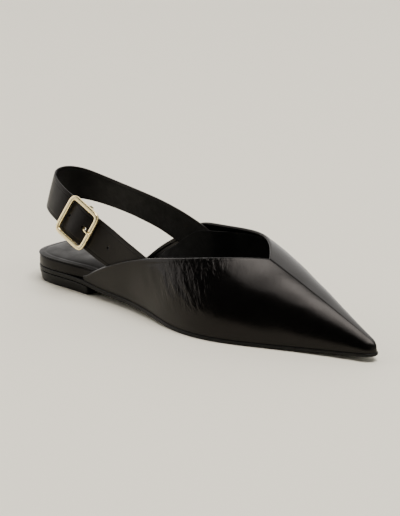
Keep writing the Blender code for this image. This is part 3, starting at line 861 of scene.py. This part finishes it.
def post_shell(line, sign, edge=0.35, corner=0.02):
    """Post that carries one end of the middle bar under the frame."""
    shell = Shell()
    low, high = bar_offset() - POST_BELOW, FRAME_LIFT + FRAME_THICK / 2
    middle, half = sign * (FRAME_ACROSS - sum(POST_SPAN)) / 2, (POST_SPAN[1] - POST_SPAN[0]) / 2
    rings = []
    for level, shrink in ((low, edge), (low + edge, 0.0), (high, 0.0)):
        ring = section_ring(POST_HALF - shrink, half - shrink, max(edge - shrink, corner), 3)
        rings.append(shell.add([buckle_point(line, a, middle + c, level) for a, c in ring]))
    shell.tube(rings)
    return shell


def prong_shell(line, sides=16, steps=90):
    """Prong: an eye round the bar, a shank through the strap's hole and a tip on the frame."""
    ahead, across, out = line.frame(0.0)
    eye = line.place(0.0) + out * bar_offset()
    turn = np.radians(np.linspace(*PRONG_EYE, 15))[:, None]
    knots = np.concatenate((
        eye + (ahead * np.cos(turn) + out * np.sin(turn)) * (BAR_RADIUS + GAP + PRONG_RADIUS),
        [buckle_point(line, a, 0.0, o) for a, o in PRONG_ROUTE],
    ))
    lengths = run_lengths(knots)
    along = np.linspace(0.0, lengths[-1], steps)
    path = np.stack([faired(lengths, column, PRONG_FAIRING)(along) for column in knots.T], axis=-1)
    side = unit(np.cross(across, unit(np.gradient(path, axis=0))))
    left = lengths[-1] - along
    at_tip, growth, least = PRONG_TAPER
    size = PRONG_RADIUS * np.clip(at_tip + left / growth, least, 1.0) * end_factor(left, PRONG_TIP)
    size = np.maximum(size, PRONG_LEAST) * end_factor(along + PRONG_END[0], PRONG_END[1])
    angle = np.linspace(0.0, 2 * math.pi, sides, endpoint=False)[:, None]
    spokes = np.cos(angle) * across + np.sin(angle) * side[:, None]
    shell = Shell()
    shell.tube(shell.add(path[:, None] + spokes * size[:, None, None]))
    return shell


# Finishes


# Part of a pattern's values over which a finish goes from one end to the other
PATTERN_RANGE = (0.3, 0.7)


def feed(tree, socket, value):
    """Link a node's input to another node's output, or set it to a plain value."""
    if isinstance(value, bpy.types.NodeSocket):
        tree.links.new(value, socket)
    else:
        socket.default_value = value


def fed(tree, node, *values, **named):
    """Feed a node's inputs by their order, or by their names with low lines for spaces."""
    for socket, value in zip(node.inputs, values):
        feed(tree, socket, value)
    for name, value in named.items():
        feed(tree, node.inputs[name.replace("_", " ")], value)
    return node


def new_node(tree, kind, *values, **named):
    """Add a node with its inputs fed."""
    return fed(tree, tree.nodes.new(kind), *values, **named)


def combined(tree, operation, first, second):
    """Combine two shader values, either of which may be a plain number."""
    made = new_node(tree, "ShaderNodeMath", first, second)
    made.operation = operation
    return made.outputs["Value"]


def eased(tree, value, low, high):
    """Shader value that eases from 0 at the low value to 1 at the high one."""
    made = new_node(tree, "ShaderNodeMapRange", Value=value, From_Min=low, From_Max=high)
    made.interpolation_type = "SMOOTHSTEP"
    return made.outputs["Result"]


class Finish:
    """A procedural finish on a Principled shader, in the piece's own coordinates."""

    def __init__(self, name):
        self.material = bpy.data.materials.new(name)
        self.material.use_nodes = True
        self.tree = self.material.node_tree
        self.shader = self.tree.nodes["Principled BSDF"]
        self.coords = self.node("ShaderNodeTexCoord").outputs["Object"]
        self.normal = None

    def node(self, kind, **inputs):
        return new_node(self.tree, kind, **inputs)

    def set(self, **inputs):
        """Feed the shader's own inputs."""
        fed(self.tree, self.shader, **inputs)

    def noise(self, scale, detail, roughness=0.55, distortion=0.0, stretch=None):
        place = self.coords
        if stretch:
            place = self.node("ShaderNodeMapping", Vector=place, Scale=stretch).outputs["Vector"]
        made = self.node("ShaderNodeTexNoise", Vector=place, Scale=scale, Detail=detail, Roughness=roughness,
                         Distortion=distortion)
        return made.outputs["Fac"]

    def cells(self, scale):
        return self.node("ShaderNodeTexVoronoi", Vector=self.coords, Scale=scale).outputs["Distance"]

    def wrinkles(self, scale, lean, edges):
        """Fine wrinkles along one leaning direction, fading out at the edges of their zone."""
        mapping = self.node("ShaderNodeMapping", Vector=self.coords, Scale=(1.0, 1.0, 4.0),
                            Rotation=(0.0, lean, 0.0))
        mapping.vector_type = "TEXTURE"
        made = self.node("ShaderNodeTexNoise", Vector=mapping.outputs["Vector"], Scale=scale, Detail=2.0,
                         Roughness=0.5, Distortion=0.5)
        parts = self.node("ShaderNodeSeparateXYZ", Vector=self.coords)
        height = made.outputs["Fac"]
        for axis, low, high in edges:
            share = eased(self.tree, parts.outputs[axis], low, high)
            height = combined(self.tree, "MULTIPLY", height, share)
        return height

    def colour(self, pattern, first, second):
        """Colour the piece between two tones by a pattern."""
        ramp = self.node("ShaderNodeValToRGB", Fac=pattern)
        for element, place, tone in zip(ramp.color_ramp.elements, PATTERN_RANGE, (first, second)):
            element.position = place
            element.color = (*tone, 1.0)
        self.set(Base_Color=ramp.outputs["Color"])

    def polish(self, pattern, low, high):
        """Let the roughness vary between two values by a pattern."""
        start, end = PATTERN_RANGE
        made = self.node("ShaderNodeMapRange", Value=pattern, From_Min=start, From_Max=end, To_Min=low,
                         To_Max=high)
        self.set(Roughness=made.outputs["Result"])

    def bump(self, pattern, strength, distance):
        """Add a relief of a pattern over the ones before it, its distance in millimetres."""
        made = self.node("ShaderNodeBump", Strength=strength, Distance=distance * MM, Height=pattern)
        if self.normal:
            feed(self.tree, made.inputs["Normal"], self.normal)
        self.normal = made.outputs["Normal"]
        self.set(Normal=self.normal)


def tones(colour, spread):
    """A darker and a lighter tone of a colour."""
    return [c / spread for c in colour], [c * spread for c in colour]


def leather(name, colour, roughness, pores, grain, shine=0.19, flex=0.0):
    """Dyed leather: mottled dye, polish that varies, grain, fine pores and the wrinkles of a flex zone."""
    made = Finish(name)
    made.set(Specular_IOR_Level=shine, Specular_Tint=(1.0, 0.93, 0.89, 1.0))
    made.colour(made.noise(38.0, 4.0), *tones(colour, 1.35))
    made.polish(made.noise(90.0, 5.0, 0.6), roughness * 0.82, roughness * 1.22)
    made.bump(made.noise(210.0, 4.0, 0.6, distortion=0.7, stretch=(1.0, 1.0, 0.6)), grain, 0.3)
    made.bump(made.noise(640.0, 3.0, 0.6, distortion=0.4), grain, 0.1)
    made.bump(made.cells(1250.0), pores, 0.1)
    if flex:
        made.bump(made.wrinkles(430.0, FLEX_LEAN, FLEX_EDGES), flex, 0.6)
    return made.material


def rubber(name, colour, roughness):
    """Sole material: even black with a fine moulded grain and faint scuffs."""
    made = Finish(name)
    made.set(Specular_IOR_Level=0.15)
    made.colour(made.noise(60.0, 5.0), *tones(colour, 1.3))
    made.polish(made.noise(140.0, 6.0, 0.65), roughness * 0.85, roughness * 1.15)
    made.bump(made.noise(900.0, 3.0), 0.25, 0.1)
    return made.material


def lining(name, colour, roughness):
    """Lining leather: matte, with a fine nap."""
    made = Finish(name)
    made.set(Specular_IOR_Level=0.2)
    made.colour(made.noise(70.0, 4.0), *tones(colour, 1.4))
    made.polish(made.noise(200.0, 4.0), roughness * 0.9, min(1.0, roughness * 1.15))
    made.bump(made.noise(420.0, 5.0, 0.65), 0.7, 0.3)
    return made.material


def gold(name, colour, roughness):
    """Plated metal: faint clouds in the plating and fine polishing lines."""
    made = Finish(name)
    made.set(Metallic=0.94)
    made.colour(made.noise(120.0, 3.0), *tones(colour, 1.06))
    made.polish(made.noise(300.0, 4.0, 0.6), roughness * 0.9, roughness * 1.12)
    made.bump(made.noise(900.0, 2.0, 0.5, stretch=(1.0, 1.0, 0.12)), 0.02, 0.03)
    return made.material


# Settings


def length(name, description, millimetres):
    return FloatProperty(name=name, description=description, default=millimetres * MM, unit="LENGTH")


def polish(name, description, default):
    return FloatProperty(
        name=name, description=description, default=default, min=0.0, max=1.0, subtype="FACTOR")


def tint(name, description, *default):
    return FloatVectorProperty(name=name, description=description, default=default, size=3, subtype="COLOR")


def brightness(name, description, default):
    return FloatProperty(name=name, description=description, default=default, min=0.0)


class SlingbackSizes(bpy.types.PropertyGroup):
    """Sizes of the leather's details."""

    leather_thickness: length("Vamp leather", "Thickness of the vamp's outer leather", 0.95)
    fold_width: length("Fold width", "Width of the folded edge along the topline", 2.1)
    fold_height: length("Fold height", "How far the folded edge stands out", 0.16)
    unevenness: length("Unevenness", "Slow unevenness of the vamp's leather", 0.08)
    strap_crown: length("Strap crown", "How far the strap's outer face bulges", 0.3)
    strap_lining: length("Strap lining", "Thickness of the strap's lining", 0.22)
    stitch_spacing: length("Stitch spacing", "Distance between stitches of the strap's fold", 2.4)
    stitch_length: length("Stitch length", "Length of one stitch", 1.7)
    thread: length("Thread", "Thickness of the thread", 0.45)


class SlingbackLooks(bpy.types.PropertyGroup):
    """Colours and polish."""

    leather_colour: tint("Leather", "Colour of the vamp's leather", 0.0016, 0.0015, 0.0015)
    leather_roughness: polish("Leather roughness", "Polish of the vamp's leather", 0.22)
    wrap_roughness: polish("Footbed roughness", "Polish of the footbed's wrap", 0.34)
    strap_colour: tint("Strap", "Colour of the straps' outer leather", 0.0032, 0.003, 0.003)
    strap_roughness: polish("Strap roughness", "Polish of the straps", 0.36)
    lining_colour: tint("Lining", "Colour of the linings", 0.0026, 0.0024, 0.0024)
    insole_colour: tint("Insole", "Colour of the insole's leather", 0.006, 0.0058, 0.0056)
    insole_roughness: polish("Insole roughness", "Polish of the insole", 0.45)
    sole_colour: tint("Sole", "Colour of the outsole and heel", 0.003, 0.003, 0.003)
    sole_roughness: polish("Sole roughness", "Polish of the outsole and heel", 0.42)
    thread_colour: tint("Thread", "Colour of the thread", 0.012, 0.0115, 0.0115)
    gold_colour: tint("Gold", "Colour of the buckle's plating", 1.0, 0.82, 0.44)
    gold_roughness: polish("Gold roughness", "Polish of the buckle", 0.2)


class SlingbackStage(bpy.types.PropertyGroup):
    """Floor, light and camera."""

    floor_colour: tint("Floor", "Colour of the floor", 0.90, 0.86, 0.735)
    light_colour: tint("Light colour", "Colour of the softbox, overhead light and backdrop", 1.0, 0.97, 0.93)
    softbox_power: FloatProperty(
        name="Softbox", description="Power of the overhead softbox", unit="POWER", default=54.0)
    overhead: brightness("Overhead", "Brightness of the soft light round the softbox", 5.4)
    backdrop: brightness("Backdrop", "Brightness of the backdrop behind the shoe", 2.0)
    side_fill: brightness("Side fill", "Brightness of the fill before the toe", 0.6)
    lens: FloatProperty(
        name="Lens", description="Focal length on a 36 mm frame", unit="CAMERA", default=136.0)


# Operators


class SHOE_OT_sole(bpy.types.Operator):
    """Make the outsole, heel, footbed and insole"""

    bl_idname = "shoe.sole"
    bl_label = "Sole layers"

    def execute(self, context):
        looks = context.scene.slingback_looks
        black = rubber("sole_black", looks.sole_colour, looks.sole_roughness)
        places = stations(LENGTH, TOE_ROUND)
        tread, top = SOLE["tread"](places), sole_top(places)
        levels = rounded_levels(0.0 * places, tread, top, low_round=0.9, high_round=0.35)
        outsole = shell_object("sole_tread", layer_shell(places, TOE_ROUND, levels))
        dress(outsole, black, "black_sole", "outsole")

        places = stations(HEEL_LENGTH, BREAST_ROUND)
        top = SOLE["tread"](places) - GAP
        levels = rounded_levels(0.0 * places + HEEL_SET_IN, 0.0 * places, top, low_round=0.6, high_round=0.3)
        levels = [(inset + HEEL_TAPER * (1 - height / HEEL_HEIGHT), height) for inset, height in levels]
        heel = shell_object("heel_block", layer_shell(places, BREAST_ROUND, levels))
        dress(heel, black, "black_sole", "heel")

        wrap = leather("footbed_wrap", looks.leather_colour, looks.wrap_roughness,
                       pores=0.08, grain=0.1, shine=0.14)
        places = stations(FOOTBED_LENGTH, INNER_ROUND)
        tuck, bed = BED["tuck"](places), BED["footbed"](places)
        levels = rounded_levels(tuck, sole_top(places) + GAP, bed, low_round=0.5, high_round=1.1)
        footbed = shell_object("footbed_wrap", layer_shell(places, INNER_ROUND, levels))
        dress(footbed, wrap, "black_leather", "footbed")

        sock = leather("insole_sock", looks.insole_colour, looks.insole_roughness,
                       pores=0.12, grain=0.12, shine=0.12)
        places = stations(INSOLE_LENGTH, INNER_ROUND)
        tuck, bed, top = BED["tuck"](places), BED["footbed"](places), BED["insole"](places)
        roll = INSOLE_ROLL_SHARE * (top - bed - GAP)
        narrow = np.minimum(1.0, outline(places, tuck)[1] / INSOLE_ROLL_WIDTH)
        edge = tuck - INSOLE_OVERHANG
        levels = rounded_levels(edge, bed + GAP, top - roll, low_round=0.15, high_round=0.15)
        for inset, share, groove in INSOLE_ROLL:
            levels.append((tuck + inset * narrow, top - roll * share - groove))
        insole = shell_object("insole_sock", layer_shell(places, INNER_ROUND, levels, dish=0.2, lines=24))
        dress(insole, sock, "insole_leather", "insole")
        return {"FINISHED"}


class SHOE_OT_vamp(bpy.types.Operator):
    """Make the vamp's outer leather and its lining"""

    bl_idname = "shoe.vamp"
    bl_label = "Vamp"

    def execute(self, context):
        looks, sizes = context.scene.slingback_looks, context.scene.slingback_sizes
        thick = sizes.leather_thickness / MM
        outer = vamp_shell((0.0, thick), VAMP_THROAT, rows=66, edge_steps=7, sizes=sizes)
        polished = leather("vamp_leather", looks.leather_colour, looks.leather_roughness,
                           pores=0.08, grain=0.16, flex=0.9)
        dress(shell_object("vamp_leather", outer, smooth=60), polished, "black_leather", "vamp")
        inner = vamp_shell((thick + LINING_SET_IN, VAMP_WALL), VAMP_THROAT + LINING_THROAT,
                           rows=40, edge_steps=5, edge_drop=LINING_DROP, pockets=True)
        matte = lining("vamp_lining", looks.lining_colour, roughness=0.62)
        dress(shell_object("vamp_lining", inner, smooth=60), matte, "black_leather")
        return {"FINISHED"}


class SHOE_OT_straps(bpy.types.Operator):
    """Make the sling strap and the short strap, each with its lining"""

    bl_idname = "shoe.straps"
    bl_label = "Straps"

    def execute(self, context):
        looks, sizes = context.scene.slingback_looks, context.scene.slingback_sizes
        line = StrapLine()
        skin = leather("strap_leather", looks.strap_colour, looks.strap_roughness,
                       pores=0.25, grain=0.3, shine=0.16)
        inside = lining("strap_lining", looks.lining_colour, roughness=0.6)
        half = STRAP_THICKNESS / 2
        split = sizes.strap_lining / MM - half
        crown = sizes.strap_crown / MM
        for name, node, route in (("sling_strap", "strap_back", back_route(line)),
                                  ("short_strap", "strap_front", front_route(line))):
            outer = ribbon_shell(route, split + STRAP_LAYER_GAP, half - crown / 2,
                                 margin=0.0, crown=crown, edge=0.4, turns=4, steps=14)
            under = ribbon_shell(route, -half, split,
                                 margin=STRAP_LINING_MARGIN, crown=0.0, edge=0.1, turns=3, steps=8)
            face = shell_object(name, outer, smooth=55)
            back = shell_object(name + "_lining", under, smooth=55)
            for piece in (face, back):
                cut(piece, *self.cutters(line, node))
            dress(face, skin, "strap_leather", node)
            dress(back, inside, "strap_leather")
        return {"FINISHED"}

    def cutters(self, line, node):
        """Shapes of the slit for the prong's eye, or of the short strap's holes."""
        if node == "strap_back":
            return [slot_cutter(line, "slit", *FOLD_SLIT)]
        holes = [slot_cutter(line, "prong_hole", *PRONG_HOLE)]
        for along in SPARE_HOLES:
            _, _, away = line.frame(along)
            rod = rod_shell(line.place(along), away, SPARE_HOLE_REACH, SPARE_HOLE_RADIUS)
            holes.append(shell_object("spare_hole", rod))
        return holes


class SHOE_OT_buckle(bpy.types.Operator):
    """Make the buckle's frame, middle bar and prong"""

    bl_idname = "shoe.buckle"
    bl_label = "Buckle"

    def execute(self, context):
        line = StrapLine()
        looks = context.scene.slingback_looks
        plated = gold("pale_gold", looks.gold_colour, looks.gold_roughness)
        ring = shell_object("buckle_ring", frame_shell(line, edge=0.75), smooth=60)
        dress(ring, plated, "pale_gold", "buckle_frame")
        _, across, out = line.frame(0.0)
        half_length = FRAME_ACROSS / 2 - POST_SPAN[0] - BAR_SET_IN
        bar = rod_shell(line.place(0.0) + out * bar_offset(), across, half_length, BAR_RADIUS)
        dress(shell_object("buckle_bar", bar, smooth=60), plated, "pale_gold")
        for name, sign in (("buckle_post_upper", 1), ("buckle_post_lower", -1)):
            dress(shell_object(name, post_shell(line, sign), smooth=50), plated, "pale_gold")
        prong = shell_object("buckle_tongue", prong_shell(line), smooth=60)
        dress(prong, plated, "pale_gold", "buckle_prong")
        return {"FINISHED"}


def stitch_tree():
    """Geometry Nodes that lay stitches along a path."""
    tree = bpy.data.node_groups.new("stitch_row", "GeometryNodeTree")
    face = tree.interface
    face.new_socket("Geometry", in_out="INPUT", socket_type="NodeSocketGeometry")
    for name in ("Spacing", "Stitch Length", "Thread"):
        face.new_socket(name, in_out="INPUT", socket_type="NodeSocketFloat")
    face.new_socket("Finish", in_out="INPUT", socket_type="NodeSocketMaterial")
    face.new_socket("Geometry", in_out="OUTPUT", socket_type="NodeSocketGeometry")
    given = new_node(tree, "NodeGroupInput").outputs
    path = new_node(tree, "GeometryNodeMeshToCurve", Mesh=given["Geometry"]).outputs["Curve"]
    spaced = new_node(tree, "GeometryNodeCurveToPoints", Curve=path)
    spaced.mode = "LENGTH"
    fed(tree, spaced, Length=given["Spacing"])
    thread = new_node(tree, "GeometryNodeMeshUVSphere", Segments=8, Rings=6, Radius=0.5)
    size = new_node(tree, "ShaderNodeCombineXYZ", given["Thread"], given["Thread"], given["Stitch Length"])
    placed = new_node(
        tree, "GeometryNodeInstanceOnPoints",
        Points=spaced.outputs["Points"], Instance=thread.outputs["Mesh"],
        Rotation=spaced.outputs["Rotation"], Scale=size.outputs["Vector"])
    real = new_node(tree, "GeometryNodeRealizeInstances", Geometry=placed.outputs["Instances"])
    coat = new_node(
        tree, "GeometryNodeSetMaterial", Geometry=real.outputs["Geometry"], Material=given["Finish"])
    new_node(tree, "NodeGroupOutput", Geometry=coat.outputs["Geometry"])
    return tree


class SHOE_OT_stitches(bpy.types.Operator):
    """Sew the sling strap's folded end down on the inside of the buckle"""

    bl_idname = "shoe.stitches"
    bl_label = "Fold stitches"

    def execute(self, context):
        sizes = context.scene.slingback_sizes
        line = StrapLine()
        fold = offset_curve(FOLD_OFFSETS)
        start, turn = STITCH_RUN
        half = line.width(STITCH_MIDDLE) / 2 - STITCH_MARGIN
        path = [(along, half) for along in np.linspace(start, turn, 10)]
        path += [(turn, across) for across in np.linspace(half, -half, 14)[1:-1]]
        path += [(along, -half) for along in np.linspace(turn, start, 10)]
        surface = STRAP_THICKNESS / 2 + STITCH_LIFT
        points = []
        for along, across in path:
            _, over, out = line.frame(along)
            points.append(line.place(along) + over * across + out * (float(fold(along)) - surface))
        mesh = bpy.data.meshes.new("fold_stitches")
        edges = [(i, i + 1) for i in range(len(points) - 1)]
        mesh.from_pydata(to_frame(points).tolist(), edges, [])
        made = new_object("fold_stitches", mesh)
        colour = context.scene.slingback_looks.thread_colour
        finish = leather("black_thread", colour, roughness=0.55, pores=0.3, grain=0.3)
        modifier = made.modifiers.new("stitch_row", "NODES")
        modifier.node_group = stitch_tree()
        values = {"Spacing": sizes.stitch_spacing, "Stitch Length": sizes.stitch_length,
                  "Thread": sizes.thread, "Finish": finish}
        for item in modifier.node_group.interface.items_tree:
            if item.in_out == "INPUT" and item.name in values:
                modifier[item.identifier] = values[item.name]
        bpy.context.view_layer.update()
        baked(made)
        if not made.data.polygons:
            raise RuntimeError("the stitches came out empty")
        made.data.shade_smooth()
        dress(made, finish, "strap_leather")
        return {"FINISHED"}


class SHOE_OT_stage(bpy.types.Operator):
    """Set the floor, soft light and camera"""

    bl_idname = "shoe.stage"
    bl_label = "Stage"

    def execute(self, context):
        stage = context.scene.slingback_stage
        self.floor(stage)
        self.world(context, stage)
        self.softbox(stage)
        self.camera(context, stage)
        return {"FINISHED"}

    def floor(self, stage):
        turn = np.linspace(0.0, 2 * math.pi, FLOOR_SIDES, endpoint=False)
        mesh = bpy.data.meshes.new("floor")
        rim = [(FLOOR_RADIUS * math.cos(t), FLOOR_RADIUS * math.sin(t), 0.0) for t in turn]
        mesh.from_pydata(rim, [], [list(range(FLOOR_SIDES))])
        made = new_object("floor", mesh)
        finish = Finish("floor_paper")
        finish.colour(finish.noise(3.0, 2.0), *tones(stage.floor_colour, 1.004))
        finish.set(Roughness=0.85)
        finish.bump(finish.noise(500.0, 3.0), 0.02, 0.2)
        mesh.materials.append(finish.material)

    def world(self, context, stage):
        """Soft light round the softbox and a pale backdrop behind the shoe, dark on the camera's side."""
        world = bpy.data.worlds.new("studio")
        world.use_nodes = True
        context.scene.world = world
        tree = world.node_tree
        aim = new_node(tree, "ShaderNodeTexCoord").outputs["Generated"]
        light = combined(tree, "ADD", self.glow(tree, aim, OVERHEAD_EDGES, stage.overhead), EVEN_LIGHT)
        for edges, strength in ((BACKDROP_EDGES, stage.backdrop), (SIDE_EDGES, stage.side_fill)):
            light = combined(tree, "ADD", light, self.glow(tree, aim, edges, strength))
        shade = fed(tree, tree.nodes["Background"], Color=(*stage.light_colour, 1.0), Strength=light)
        paper = new_node(tree, "ShaderNodeBackground", Color=(*stage.floor_colour, 1.0))
        seen = new_node(tree, "ShaderNodeLightPath").outputs["Is Camera Ray"]
        mix = new_node(
            tree, "ShaderNodeMixShader", seen, shade.outputs["Background"], paper.outputs["Background"])
        fed(tree, tree.nodes["World Output"], Surface=mix.outputs["Shader"])

    def glow(self, tree, aim, edges, strength):
        """Light of one strength inside its soft edges."""
        light = strength
        for facing, reach in edges:
            inward = new_node(tree, "ShaderNodeVectorMath", aim, facing)
            inward.operation = "DOT_PRODUCT"
            light = combined(tree, "MULTIPLY", eased(tree, inward.outputs["Value"], *reach), light)
        return light

    def softbox(self, stage):
        """Level light over the shoe, a little to the camera's side and to its right."""
        light = bpy.data.lights.new("overhead_softbox", "AREA")
        light.shape = "RECTANGLE"
        light.size, light.size_y = SOFTBOX_SIZE
        light.energy = stage.softbox_power
        light.color = stage.light_colour
        made = new_object("overhead_softbox", light)
        away, right, up = SOFTBOX_PLACE
        made.location = Vector(AWAY) * away + Vector(RIGHT) * right + Vector((0.0, 0.0, up))
        made.rotation_euler = (0.0, 0.0, math.atan2(AWAY[1], AWAY[0]) - math.pi / 2)

    def camera(self, context, stage):
        view = bpy.data.cameras.new("camera")
        view.sensor_width = SENSOR_WIDTH
        view.lens = stage.lens
        view.clip_start, view.clip_end = CAMERA_CLIP
        made = new_object("camera", view)
        made.location = CAMERA_PLACE
        made.rotation_euler = (Vector(CAMERA_TARGET) - made.location).to_track_quat("-Z", "Y").to_euler()
        context.scene.camera = made


class SHOE_PT_slingback(bpy.types.Panel):
    """Sidebar panel with the shoe's settings and steps."""

    bl_idname = "SHOE_PT_slingback"
    bl_label = "Slingback flat"
    bl_space_type = "VIEW_3D"
    bl_region_type = "UI"
    bl_category = "Shoe"

    def draw(self, context):
        for name in SETTINGS:
            group = getattr(context.scene, name)
            box = self.layout.box()
            for field in group.__annotations__:
                box.prop(group, field)
        for step in STEPS:
            self.layout.operator(step.bl_idname)


STEPS = (SHOE_OT_sole, SHOE_OT_vamp, SHOE_OT_straps, SHOE_OT_buckle, SHOE_OT_stitches, SHOE_OT_stage)
SETTINGS = {
    "slingback_sizes": SlingbackSizes,
    "slingback_looks": SlingbackLooks,
    "slingback_stage": SlingbackStage,
}


def register():
    for kind in (*SETTINGS.values(), *STEPS, SHOE_PT_slingback):
        bpy.utils.register_class(kind)
    for name, kind in SETTINGS.items():
        setattr(bpy.types.Scene, name, PointerProperty(type=kind))


def unregister():
    for name in SETTINGS:
        delattr(bpy.types.Scene, name)
    for kind in reversed((*SETTINGS.values(), *STEPS, SHOE_PT_slingback)):
        bpy.utils.unregister_class(kind)


def main():
    register()
    bpy.ops.shoe.sole()
    bpy.ops.shoe.vamp()
    bpy.ops.shoe.straps()
    bpy.ops.shoe.buckle()
    bpy.ops.shoe.stitches()
    bpy.ops.shoe.stage()
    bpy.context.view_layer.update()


if __name__ == "__main__":
    main()
